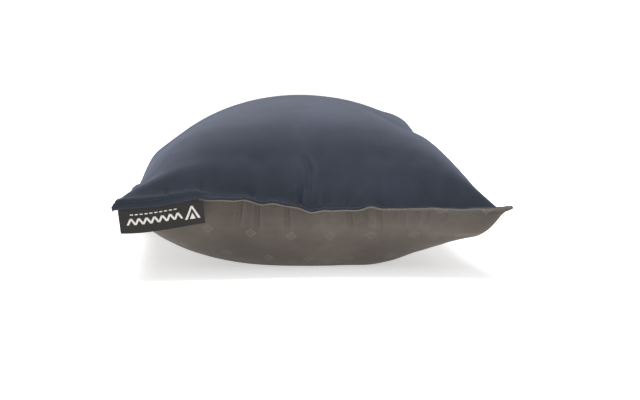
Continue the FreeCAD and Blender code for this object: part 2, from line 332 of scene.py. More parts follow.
# creases: (sheet, points in cloth mm, depth mm, width mm, shoulder)
CREASES = [
    (0, [(-9.0, -245), (-9.2, -241), (-8.0, -236), (-7.2, -230.5)], 4.0, 1.7, 0.55),
    (0, [(-2.0, -236), (-0.5, -231), (0.5, -226), (-3.0, -219), (-5.5, -212)], 2.6, 2.4, 0.6),
    (0, [(2, -245), (3, -239), (5, -231)], 0.9, 3.6, 0.9),
    (0, [(-17, -245), (-16, -241), (-14, -234)], 0.9, 2.0, 0.4),
    (0, [(14, -245), (15, -240), (14, -232)], 0.7, 2.6, 0.5),
    (0, [(-127, -245), (-128, -242), (-130, -237)], 1.2, 1.9, 0.4),
    (0, [(-113, -245), (-114, -242), (-115, -238)], 0.8, 1.7, 0.4),
    (0, [(-97, -245), (-97, -241), (-99, -236)], 1.2, 1.9, 0.4),
    (0, [(-83, -245), (-82, -242), (-81, -238)], 0.8, 1.8, 0.4),
    (0, [(-52, -245), (-52, -241), (-51, -236)], 0.7, 2.2, 0.4),
    (0, [(-34, -245), (-34, -242), (-33, -238)], 0.6, 2.0, 0.4),
    (0, [(33, -245), (34, -241), (36, -236)], 0.7, 2.2, 0.4),
    (0, [(60, -245), (62, -240), (60, -234)], 0.8, 2.4, 0.4),
    (0, [(88, -245), (88, -241), (90, -236)], 0.6, 2.2, 0.4),
    (0, [(112, -245), (110, -240), (106, -233)], 0.9, 2.4, 0.4),
    (1, [(-78, -245), (-78, -242), (-80, -237)], 0.8, 1.8, 0.4),
    (1, [(-61, -245), (-62, -236), (-65, -224)], 3.0, 1.6, 0.45),
    (1, [(-53, -245), (-54, -242), (-54, -237)], 0.7, 1.8, 0.4),
    (1, [(-45.5, -245), (-46.5, -235), (-46.5, -219)], 3.6, 1.7, 0.45),
    (1, [(-33, -245), (-33, -242), (-32, -236)], 0.8, 1.8, 0.4),
    (1, [(-20, -245), (-20, -235), (-18.5, -221)], 3.4, 1.7, 0.45),
    (1, [(2, -245), (2, -242), (4, -237)], 0.7, 2.0, 0.4),
    (1, [(16, -245), (16, -239), (17, -229)], 1.5, 1.8, 0.4),
    (1, [(34, -245), (35, -238), (37, -223)], 2.7, 1.7, 0.45),
    (1, [(48, -245), (49, -239), (51, -226)], 1.8, 1.6, 0.45),
    (1, [(62, -245), (62, -238), (63, -222)], 2.7, 1.7, 0.45),
    (1, [(82, -245), (83, -238), (84, -226)], 1.9, 1.7, 0.45),
    (1, [(105, -245), (104, -239), (102, -228)], 1.4, 2.0, 0.4),
    (1, [(122, -245), (119, -240), (114, -234)], 1.1, 2.2, 0.4),
]


def crease_depth(sheet, X, Y):
    """displacement along the outward normal, metres"""
    out = np.zeros(X.shape)
    for s, pts, depth, width, shoulder in CREASES:
        if s != sheet:
            continue
        d, t = polyline_distance(X * 1000, Y * 1000, pts)
        fade = step01(0.0, 0.12, t) * step01(1.0, 0.45, t)
        w = width * (0.8 + 0.5 * t)
        g = np.exp(-((d / w) ** 2)) - shoulder * np.exp(-(((d - 2.1 * w) / (1.3 * w)) ** 2)) - 0.25 * np.exp(-(((d + 2.1 * w) / (1.5 * w)) ** 2))
        out -= depth * fade * g / 1000
    return out


P[2] = np.maximum(P[2], 0)

# the flange hangs: it turns down about the stitch line, most at the front left
E_MM = np.minimum(HX - abs(cloth.X), HY - abs(cloth.Y)) * 1000
line = FLANGE
under = np.clip(line - E_MM, 0, None) / 1000
ang = droop_angle(cloth.X, cloth.Y)
# outward horizontal direction of the seam
mid0 = P.mean(1)
gx, gy = np.gradient(mid0, axis=1), np.gradient(mid0, axis=2)
ox = np.where(HX - abs(cloth.X) < HY - abs(cloth.Y), np.sign(cloth.X), 0)
oy = np.where(ox == 0, np.sign(cloth.Y), 0)
blend_x = np.exp(-(HX - abs(cloth.X)) / 0.006)
blend_y = np.exp(-(HY - abs(cloth.Y)) / 0.006)
bs = blend_x + blend_y + 1e-9
hx, hy = np.sign(cloth.X) * blend_x / bs, np.sign(cloth.Y) * blend_y / bs
hl = np.hypot(hx, hy) + 1e-9
hx, hy = hx / hl, hy / hl
for s in (0, 1):
    P[2, s] -= under * np.sin(ang)
    P[0, s] -= under * (1 - np.cos(ang)) * hx
    P[1, s] -= under * (1 - np.cos(ang)) * hy

field_P = Field(cloth.x, cloth.y, P)
N = sheet_normals(P)
N /= np.linalg.norm(N, axis=0) + 1e-12
# in the flange both sheets share one normal
mN = N[:, 0] - N[:, 1]
mN /= np.linalg.norm(mN, axis=0) + 1e-12
fw = step01(0.0035, -0.001, cloth.inset)
for s, sg in ((0, 1), (1, -1)):
    N[:, s] = N[:, s] * (1 - fw) + sg * mN * fw
N /= np.linalg.norm(N, axis=0) + 1e-12
field_N = Field(cloth.x, cloth.y, N)

PLY, CLOTH_T = 1.55, 0.45      # folded allowance in the flange, plain cloth, mm
STITCH_AT, PITCH = 5.6, 3.2    # topstitch line from the edge, stitch pitch, mm


def edge_mm(X, Y):
    return np.minimum(HX - abs(X), HY - abs(Y)) * 1000


def along_mm(X, Y):
    """position along the nearest side"""
    return np.where(HX - abs(X) < HY - abs(Y), Y, X) * 1000


def height(X, Y, sheet):
    """outer face over the sheet's middle plane, mm"""
    e = edge_mm(X, Y)
    r = 1.5 if sheet == 0 else 1.3
    rim = np.sqrt(np.clip(1 - (1 - np.clip(e / r, 0, 1)) ** 2, 0, 1))
    thick = CLOTH_T + (PLY - CLOTH_T) * step01(9.5, 6.0, e)
    h = 0.12 + (thick - 0.12) * rim
    pull = 0.5 + 0.5 * np.cos(along_mm(X, Y) * 2 * np.pi / PITCH)
    h = h - (0.42 + 0.22 * pull) * np.exp(-(((e - STITCH_AT) / 0.75) ** 2))
    # tiny puckers between the stitch line and the belly
    a = along_mm(X, Y)
    h = h + 0.16 * np.sin(a * 2 * np.pi / 9.7 + 1.3 * np.sin(a * 0.11)) * np.exp(-(((e - 8.5) / 3.0) ** 2))
    h = h + 0.10 * np.sin(a * 2 * np.pi / 7.3 + 2.0 * np.sin(a * 0.07)) * np.exp(-(((e - 2.6) / 1.6) ** 2))
    return h + crease_depth(sheet, X, Y) * 1000 * np.clip((e - 6.0) / 3.0, 0, 1)


def surface(X, Y, sheet, lift=None):
    """points on the outer face (lift None) or lift mm off the middle plane"""
    X, Y = np.asarray(X, float), np.asarray(Y, float)
    sh = X.shape
    X, Y = X.ravel(), Y.ravel()
    p = field_P.at(X, Y).reshape(3, 2, -1)[:, sheet]
    n = field_N.at(X, Y).reshape(3, 2, -1)[:, sheet]
    n = n / (np.linalg.norm(n, axis=0) + 1e-12)
    h = height(X, Y, sheet) if lift is None else np.broadcast_to(np.asarray(lift, float).ravel() if np.ndim(lift) else lift, X.shape)
    q = p + n * (h / 1000)
    return q.T.reshape(sh + (3,)), n.T.reshape(sh + (3,))


def true_length(half, along_x, sheet):
    """cloth coordinate -> length over the stuffed surface through its middle"""
    q = np.linspace(-half, half, 241)
    o = np.zeros_like(q)
    p = surface(q, o, sheet, lift=0.0)[0] if along_x else surface(o, q, sheet, lift=0.0)[0]
    c = np.r_[0, np.cumsum(np.linalg.norm(np.diff(p, axis=0), axis=1))]
    return q, c - c[-1] / 2


LEN = {(s, ax): true_length(HX if ax == 0 else HY, ax == 0, s) for s in (0, 1) for ax in (0, 1)}


def cloth_uv(X, Y, sheet):
    return np.stack([np.interp(X, *LEN[sheet, 0]), np.interp(Y, *LEN[sheet, 1])], -1).reshape(-1, 2) * 10 + 4.0


# ------------------------------------------------------------ mesh helpers
def new_object(name, verts, faces, uv=None, smooth=True):
    me = bpy.data.meshes.new(name)
    me.from_pydata(np.asarray(verts).reshape(-1, 3).tolist(), [], faces)
    if uv is not None:
        layer = me.uv_layers.new(name="cloth")
        loops = np.empty(len(me.loops), int)
        me.loops.foreach_get("vertex_index", loops)
        layer.data.foreach_set("uv", np.asarray(uv, float).reshape(-1, 2)[loops].ravel())
    me.update()
    if smooth:
        me.polygons.foreach_set("use_smooth", [True] * len(me.polygons))
    ob = bpy.data.objects.new(name, me)
    scene.collection.objects.link(ob)
    return ob


def grid_faces(nx, ny, base=0, flip=False):
    i, j = np.meshgrid(np.arange(nx - 1), np.arange(ny - 1), indexing="ij")
    a = (i * ny + j).ravel() + base
    q = np.stack([a, a + ny, a + ny + 1, a + 1], 1)
    return (q[:, ::-1] if flip else q).tolist()


RIM = [0, 0.25, 0.6, 1.0, 1.5, 2.2, 3.0, 3.8, 4.5, 4.9, 5.25, 5.6, 5.95, 6.3, 6.8, 7.4, 8.1, 9.1, 10.3, 11.8, 13.6]
STEP = 2.4


def stations(half, sheet=None):
    inner = np.linspace(half * 1000 - RIM[-1], 0, int(round((half * 1000 - RIM[-1]) / STEP)) + 1)[1:]
    s = np.r_[half * 1000 - np.array(RIM), inner] / 1000
    s = np.unique(np.r_[-s, s].round(7))
    if sheet is None:
        return s
    more = []
    for k, pts, depth, width, shoulder in CREASES:
        if k == sheet:
            xs = np.array([p[0] for p in pts])
            more.append(np.arange(xs.min() - 1.6 * width, xs.max() + 1.6 * width + 0.1, 0.85) / 1000)
    extra = np.concatenate(more)
    extra = extra[abs(extra) < half - 0.0137]
    keep = [v for v in s if abs(v) > half - 0.0137 or abs(extra - v).min() > 0.0006]
    grid = np.unique(np.r_[keep, extra].round(6))
    return grid[np.r_[True, np.diff(grid) > 0.00035]]


def panel(name, sheet, out_mm):
    """closed cloth panel; its folded edge stands out_mm past the flange line"""
    xs, ys = stations(HX, sheet), stations(HY)
    ys = np.unique(np.r_[ys, np.arange(-235.9, -208, 1.2) / 1000].round(6))
    ys = ys[np.r_[True, np.diff(ys) > 0.0003]]
    X, Y = np.meshgrid(xs, ys, indexing="ij")
    outer, n = surface(X, Y, sheet)
    inner, _ = surface(X, Y, sheet, lift=np.where(edge_mm(X, Y) < 7.5, 0.10, -0.02))
    # the folded edge reaches a little past the flange line
    e = edge_mm(X, Y)
    c, _ = surface(X * 0.985, Y * 0.985, sheet, lift=0.0)
    base, _ = surface(X, Y, sheet, lift=0.0)
    d = base - c
    d /= np.linalg.norm(d, axis=2, keepdims=True) + 1e-12
    push = (out_mm / 1000) * step01(2.6, 0.3, e)[..., None]
    outer = outer + d * push
    inner = inner + d * push
    nx, ny = X.shape
    uv = cloth_uv(X, Y, sheet)
    verts = np.concatenate([outer.reshape(-1, 3), inner.reshape(-1, 3)])
    N_ = nx * ny
    flip = sheet == 1
    faces = grid_faces(nx, ny, 0, flip) + grid_faces(nx, ny, N_, not flip)
    ring = [(i, 0) for i in range(nx)] + [(nx - 1, j) for j in range(1, ny)] + [(i, ny - 1) for i in range(nx - 2, -1, -1)] + [(0, j) for j in range(ny - 2, 0, -1)]
    ids = [i * ny + j for i, j in ring]
    for k in range(len(ids)):
        a, b = ids[k], ids[(k + 1) % len(ids)]
        f = [a, b, b + N_, a + N_]
        faces.append(f if flip else f[::-1])
    ob = new_object(name, verts, faces, np.concatenate([uv, uv]))
    e = edge_mm(X, Y).ravel()
    # painted shade mask: strongest at the sewn edge, fading inwards
    painted_seam_shade = np.exp(-((np.clip(e - 3.0, 0, None) / (11.0 if sheet else 9.0)) ** 2))
    at = ob.data.attributes.new("seam", "FLOAT", "POINT")
    at.data.foreach_set("value", np.concatenate([painted_seam_shade, painted_seam_shade]).astype(np.float32))
    # painted highlight mask on the folded edge
    painted_fold_highlight = step01(0.9, 0.35, e)
    at = ob.data.attributes.new("painted_fold_highlight", "FLOAT", "POINT")
    at.data.foreach_set("value", np.concatenate([painted_fold_highlight, painted_fold_highlight]).astype(np.float32))
    return ob


def side_path(inset_mm, spacing):
    """points (X, Y) once round the cloth at inset_mm from the edge"""
    a, b, r = HX * 1000 - inset_mm, HY * 1000 - inset_mm, 3.0
    pts = []
    for (cx, cy, t0) in ((a - r, -b + r, -90), (a - r, b - r, 0), (-a + r, b - r, 90), (-a + r, -b + r, 180)):
        for k in range(9):
            t = math.radians(t0 + 90 * k / 8)
            pts.append((cx + r * math.cos(t), cy + r * math.sin(t)))
    pts = np.array(pts + [pts[0]])
    seg = np.r_[0, np.cumsum(np.hypot(*np.diff(pts, axis=0).T))]
    n = int(seg[-1] / spacing)
    s = np.linspace(0, seg[-1], n, endpoint=False)
    return np.interp(s, seg, pts[:, 0]) / 1000, np.interp(s, seg, pts[:, 1]) / 1000, seg[-1]


def stitches(name, sheet, inset_mm, pitch=PITCH, length=2.5, radius=0.27, span=None, lift=0.16, between=False):
    """a row of separate stitches lying on the flange, each dipping into its holes"""
    sub = 7
    X, Y, total = side_path(inset_mm, pitch / 16)
    n = int(total / pitch)
    P0 = surface(X, Y, sheet, lift=0.0)[0] if between else surface(X, Y, sheet)[0]
    Nn = surface(X, Y, sheet)[1]
    verts, faces = [], []
    m = len(X)
    for k in range(n):
        s0 = k * m / n
        idx = (s0 + np.linspace(0, 1, sub) * (m / n) * (length / pitch))
        i0 = idx.astype(int) % m
        if span is not None and not span(X[i0[0]], Y[i0[0]]):
            continue
        fr = (idx - idx.astype(int))[:, None]
        i1 = (i0 + 1) % m
        c = P0[i0] * (1 - fr) + P0[i1] * fr
        nn = Nn[i0] * (1 - fr) + Nn[i1] * fr
        t = np.gradient(c, axis=0)
        t /= np.linalg.norm(t, axis=1, keepdims=True)
        b = np.cross(t, nn)
        b /= np.linalg.norm(b, axis=1, keepdims=True)
        nn = np.cross(b, t)
        w = np.linspace(-1, 1, sub)
        arch = (lift + 0.10 - 0.42 * w**4) / 1000
        rad = radius * (1 - 0.45 * w**4) / 1000
        base = len(verts)
        for q in range(sub):
            for a in range(6):
                th = 2 * math.pi * a / 6
                verts.append(c[q] + nn[q] * (arch[q] + 0.8 * rad[q] * math.sin(th)) + b[q] * (rad[q] * math.cos(th)))
        for q in range(sub - 1):
            for a in range(6):
                faces.append([base + q * 6 + a, base + q * 6 + (a + 1) % 6, base + (q + 1) * 6 + (a + 1) % 6, base + (q + 1) * 6 + a])
        faces.append([base + a for a in range(6)][::-1])
        faces.append([base + (sub - 1) * 6 + a for a in range(6)])
    verts = np.array(verts)
    ob = new_object(name, verts, faces, verts[:, :2] * 10)
    return ob


# ------------------------------------------------------------------ pieces
top = panel("face_panel_navy", 0, -0.15)
bottom = panel("base_panel_grey", 1, 0.75)


def filling():
    """the loose filling as one soft body just inside the panels"""
    k = 9.4
    xs = np.linspace(-HX + k / 1000, HX - k / 1000, 61)
    ys = np.linspace(-HY + k / 1000, HY - k / 1000, 85)
    X, Y = np.meshgrid(xs, ys, indexing="ij")
    a, _ = surface(X, Y, 0, lift=-0.6)
    b, _ = surface(X, Y, 1, lift=-0.6)
    rim = step01(0, 9, (np.minimum(xs[-1] - abs(X), ys[-1] - abs(Y))) * 1000)[..., None]
    m = (a + b) / 2
    wad = 1.2e-3 * (np.sin(X * 190 + 3 * np.sin(Y * 70)) * np.sin(Y * 160 + 2 * np.sin(X * 90)))[..., None]
    a, b = m + (a - m) * rim, m + (b - m) * rim
    d = a - b
    d /= np.linalg.norm(d, axis=2, keepdims=True) + 1e-9
    a, b = a - d * (0.0014 + wad) * rim, b + d * (0.0014 + wad) * rim
    nx, ny = X.shape
    verts = np.concatenate([a.reshape(-1, 3), b.reshape(-1, 3)])
    faces = grid_faces(nx, ny, 0) + grid_faces(nx, ny, nx * ny, True)
    ring = [(i, 0) for i in range(nx)] + [(nx - 1, j) for j in range(1, ny)] + [(i, ny - 1) for i in range(nx - 2, -1, -1)] + [(0, j) for j in range(ny - 2, 0, -1)]
    ids = [i * ny + j for i, j in ring]
    me = []
    for q in range(len(ids)):
        A, B = ids[q], ids[(q + 1) % len(ids)]
        me.append([A, A + nx * ny, B + nx * ny, B])
    uv = np.stack([X, Y], -1).reshape(-1, 2) * 10
    ob = new_object("fibre_filling", verts, faces + me, np.concatenate([uv, uv]))
    mod = ob.modifiers.new("weld", "WELD")
    mod.merge_threshold = 1e-5
    return ob


fill = filling()
needle = stitches("topstitch_navy", 0, STITCH_AT)
bobbin = stitches("topstitch_grey", 1, STITCH_AT)
seam = stitches("assembly_seam", 0, 2.8, pitch=2.6, length=2.4, radius=0.05, lift=-0.10, between=True)
closing = stitches("closing_stitches", 1, 3.0, pitch=2.8, length=2.2, radius=0.22,
                   span=lambda x, y: y > HY - 0.006 and abs(x) < 0.062)

# --------------------------------------------------------------------- tabs
J = {j["name"]: j for j in frame["joints"]} if isinstance(frame["joints"], list) else frame["joints"]


def edge_line(y_side, n=1400):
    """middle of the flange's outer edge along the short side at y_side"""
    X = np.linspace(-HX, HX, n)
    Y = np.full(n, y_side * HY)
    m = 0.5 * (surface(X, Y, 0, lift=0.0)[0] + surface(X, Y, 1, lift=0.0)[0])
    Yi = np.full(n, y_side * (HY - 0.004))
    k = 0.5 * (surface(X, Yi, 0, lift=0.0)[0] + surface(X, Yi, 1, lift=0.0)[0])
    return X, m, k


def tab_surface(y_side, x0, x1, drop, lean=0.0, curl=0.0, skew=0.0, n_s=49, n_t=34, inside=4.0):
    """middle surface of a tab caught in the flange: (s, t) grid, t down the tab"""
    X, m, k = edge_line(y_side)
    wx = m[:, 0]
    sx = np.linspace(x0, x1, n_s)
    E = np.stack([np.interp(sx, wx, m[:, c]) for c in range(3)], 1)
    K = np.stack([np.interp(sx, wx, k[:, c]) for c in range(3)], 1)
    # the tab is stiffer than the flange, so it evens out the flange's ripples
    q = np.linspace(-1, 1, n_s)
    for c in range(3):
        f = np.polyfit(q, E[:, c], 3)
        E[:, c] = np.polyval(f, q)
        f = np.polyfit(q, K[:, c], 3)
        K[:, c] = np.polyval(f, q)
    fl = E - K
    fl /= np.linalg.norm(fl, axis=1, keepdims=True)
    along = np.gradient(E, axis=0)
    along /= np.linalg.norm(along, axis=1, keepdims=True)
    out = fl * [1, 1, 0]
    out /= np.linalg.norm(out, axis=1, keepdims=True) + 1e-9
    a0 = np.arctan2(-fl[:, 2], np.linalg.norm(fl[:, :2], axis=1))
    tt = np.r_[np.linspace(-inside, 0, 5)[:-1], np.linspace(0, 4.2, 13)[:-1], np.linspace(4.2, drop, n_t - 16)]
    G = np.zeros((n_s, len(tt), 3))
    for i, t in enumerate(tt):
        if t <= 0:
            G[:, i] = E + fl * (t / 1000)
    k0 = 4
    cur = E.copy()
    for i in range(k0 + 1, len(tt)):
        tm = 0.5 * (tt[i] + tt[i - 1])
        f = step01(0.7, 3.4, np.full(n_s, tm))
        a = a0 + (math.radians(90) - a0) * f
        a = a + math.radians(lean) * step01(3.0, 9.0, np.full(n_s, tm)) + curl * (tm / drop) ** 2 * np.sin(q * 2.2 + 0.4)
        d = out * np.cos(a)[:, None] - np.array([0, 0, 1.0]) * np.sin(a)[:, None] + along * (skew * f)[:, None]
        d /= np.linalg.norm(d, axis=1, keepdims=True)
        cur = cur + d * ((tt[i] - tt[i - 1]) / 1000)
        G[:, i] = cur
    G[:, k0] = E
    return G, sx, tt


def sheet_solid(name, G, thick, uvs):
    """thin closed cloth with rounded selvedges round a middle surface"""
    gs, gt = np.gradient(G, axis=0), np.gradient(G, axis=1)
    n = np.cross(gs, gt)
    n /= np.linalg.norm(n, axis=2, keepdims=True) + 1e-12
    a, b = G + n * (thick / 2000), G - n * (thick / 2000)
    nx, ny = G.shape[:2]
    verts = np.concatenate([a.reshape(-1, 3), b.reshape(-1, 3)])
    faces = grid_faces(nx, ny, 0) + grid_faces(nx, ny, nx * ny, True)
    ring = [(i, 0) for i in range(nx)] + [(nx - 1, j) for j in range(1, ny)] + [(i, ny - 1) for i in range(nx - 2, -1, -1)] + [(0, j) for j in range(ny - 2, 0, -1)]
    ids = [i * ny + j for i, j in ring]
    for q in range(len(ids)):
        A, B = ids[q], ids[(q + 1) % len(ids)]
        faces.append([A, A + nx * ny, B + nx * ny, B])
    return new_object(name, verts, faces, np.concatenate([uvs.reshape(-1, 2)] * 2)), n


LABEL_W, LABEL_H = 72.0, 21.0
G, LSX, LTT = tab_surface(-1, -0.1650, -0.0928, LABEL_H, lean=2.0, curl=0.03, skew=0.12, n_s=61)
ls = (np.arange(G.shape[0]) / (G.shape[0] - 1) * LABEL_W)
S_, T_ = np.meshgrid(ls, LTT, indexing="ij")
label, LN = sheet_solid("woven_tab", G, 0.42, np.stack([S_, T_], -1) / 10)
if LN[30, -3, 1] > 0:
    LN = -LN
# the normal that faces away from the pillow
LFACE = LN


def label_point(s, t, lift):
    """point on the label's front, s along in mm, t down in mm"""
    fs = np.clip(np.asarray(s, float) / LABEL_W, 0, 1) * (G.shape[0] - 1)
    ft = np.interp(t, LTT, np.arange(len(LTT)))
    i = np.clip(fs.astype(int), 0, G.shape[0] - 2)
    j = np.clip(ft.astype(int), 0, len(LTT) - 2)
    a, b = (fs - i)[..., None], (ft - j)[..., None]

    def bil(A):
        return (A[i, j] * (1 - a) + A[i + 1, j] * a) * (1 - b) + (A[i, j + 1] * (1 - a) + A[i + 1, j + 1] * a) * b
    n = bil(LFACE)
    n /= np.linalg.norm(n, axis=-1, keepdims=True)
    return bil(G) + n * (np.asarray(lift)[..., None] / 1000)


def inlay(polys, raise_mm=0.30, cell=0.9):
    """woven figure: each polygon (s, t in mm) as fine strips raised off the face"""
    verts, faces = [], []
    for poly in polys:
        poly = np.asarray(poly, float)
        s0, s1 = poly[:, 0].min(), poly[:, 0].max()
        cols = np.linspace(s0 + 1e-4, s1 - 1e-4, max(2, int((s1 - s0) / cell) + 2))
        edges = np.unique(np.r_[cols, np.clip(poly[:, 0], s0 + 1e-4, s1 - 1e-4)].round(5))
        rows = []
        for c in edges:
            ts = []
            for k in range(len(poly)):
                (ax, at), (bx, bt) = poly[k], poly[(k + 1) % len(poly)]
                if abs(ax - bx) < 1e-6:
                    if abs(c - ax) < 2e-4:
                        ts += [at, bt]
                    continue
                if min(ax, bx) - 1e-6 <= c <= max(ax, bx) + 1e-6:
                    ts.append(at + (bt - at) * (c - ax) / (bx - ax))
            rows.append((c, min(ts), max(ts)))
        base = len(verts)
        m = 4
        for c, t0, t1 in rows:
            for q in range(m):
                t = t0 + (t1 - t0) * q / (m - 1)
                verts.append((c, t))
        for k in range(len(rows) - 1):
            for q in range(m - 1):
                a = base + k * m + q
                faces.append([a, a + m, a + m + 1, a + 1])
    v = np.array(verts)
    up = label_point(v[:, 0], v[:, 1], np.full(len(v), raise_mm))
    dn = label_point(v[:, 0], v[:, 1], np.full(len(v), 0.12))
    n = len(v)
    count = {}
    for f in faces:
        for k in range(4):
            e = (f[k], f[(k + 1) % 4])
            count[e] = count.get(e, 0) + 1
    rim = [e for e in count if (e[1], e[0]) not in count]
    fs = list(faces) + [[q + n for q in f[::-1]] for f in faces] + [[e[1], e[0], e[0] + n, e[1] + n] for e in rim]
    return new_object("woven_tab_figure", np.concatenate([up, dn]), fs, np.concatenate([v, v]) / 10)


def peaks(s0, t_base, w, h):
    """a plain two-peak ridge tent figure made of slanted bars"""
    out = []
    bar = 1.9
    out.append([(s0, t_base), (s0 + bar, t_base), (s0 + w / 2 + bar * 0.55, t_base - h), (s0 + w / 2 - bar * 0.45, t_base - h)])
    out.append([(s0 + w / 2 - bar * 0.45, t_base - h), (s0 + w / 2 + bar * 0.55, t_base - h), (s0 + w, t_base), (s0 + w - bar, t_base)])
    return out


figures = []
# emblem end: a small tent of two slanted sides with a doorway
figures += [[(55.6, 15.6), (61.3, 4.4), (62.9, 4.4), (57.8, 15.6)],
            [(61.3, 4.4), (62.9, 4.4), (68.6, 15.6), (66.4, 15.6)],
            [(59.7, 15.6), (62.1, 10.2), (64.5, 15.6)]]
# long zigzag band
zz = []
s = 6.0
while s < 49.0:
    zz.append([(s, 13.8), (s + 2.0, 13.8), (s + 5.3, 8.2), (s + 3.3, 8.2)])
    zz.append([(s + 3.3, 8.2), (s + 5.3, 8.2), (s + 8.6, 13.8), (s + 6.6, 13.8)])
    s += 6.6
figures += zz
# a row of short dashes above it
s = 10.0
while s < 50.0:
    figures.append([(s, 5.4), (s + 2.6, 5.4), (s + 2.6, 4.5), (s, 4.5)])
    s += 4.1
figure = inlay(figures)

CG, CSX, CTT = tab_surface(1, 0.0605, 0.0865, 33.0, lean=-2.0, curl=0.05, n_s=31, n_t=34)
cs = np.arange(CG.shape[0]) / (CG.shape[0] - 1) * 26.0
S2, T2 = np.meshgrid(cs, CTT, indexing="ij")
care, _ = sheet_solid("care_tab_cloth", CG, 0.30, np.stack([S2, T2], -1) / 10)


# --------------------------------------------------------------- materials
def nodes_of(name):
    m = bpy.data.materials.new(name)
    m.use_nodes = True
    nt = m.node_tree
    for n in list(nt.nodes):
        nt.nodes.remove(n)
    out = nt.nodes.new("ShaderNodeOutputMaterial")
    bs_ = nt.nodes.new("ShaderNodeBsdfPrincipled")
    nt.links.new(bs_.outputs[0], out.inputs[0])
    return m, nt, bs_


def N_(nt, kind, **kw):
    n = nt.nodes.new(kind)
    for k, v in kw.items():
        if k.startswith("in_"):
            key = k[3:]
            key = int(key) if key.isdigit() else key.replace("_", " ")
            n.inputs[key].default_value = v
        else:
            setattr(n, k, v)
    return n


def math_node(nt, op, a, b=None, clamp=False):
    n = nt.nodes.new("ShaderNodeMath")
    n.operation = op
    n.use_clamp = clamp
    for k, v in enumerate((a, b)):
        if v is None:
            continue
        if isinstance(v, (int, float)):
            n.inputs[k].default_value = v
        else:
            nt.links.new(v, n.inputs[k])
    return n.outputs[0]


def mix_col(nt, fac, a, b, mode="MIX"):
    n = nt.nodes.new("ShaderNodeMix")
    n.data_type = "RGBA"
    n.blend_type = mode
    for sock, v in ((n.inputs["Factor"], fac), (n.inputs[6], a), (n.inputs[7], b)):
        if isinstance(v, (int, float)):
            sock.default_value = v
        elif isinstance(v, tuple):
            sock.default_value = v
        else:
            nt.links.new(v, sock)
    return n.outputs[2]


def ramp(nt, fac, stops):
    n = nt.nodes.new("ShaderNodeValToRGB")
    e = n.color_ramp.elements
    while len(e) < len(stops):
        e.new(0.5)
    for k, (p, c) in enumerate(stops):
        e[k].position = p
        e[k].color = c
    nt.links.new(fac, n.inputs[0])
    return n


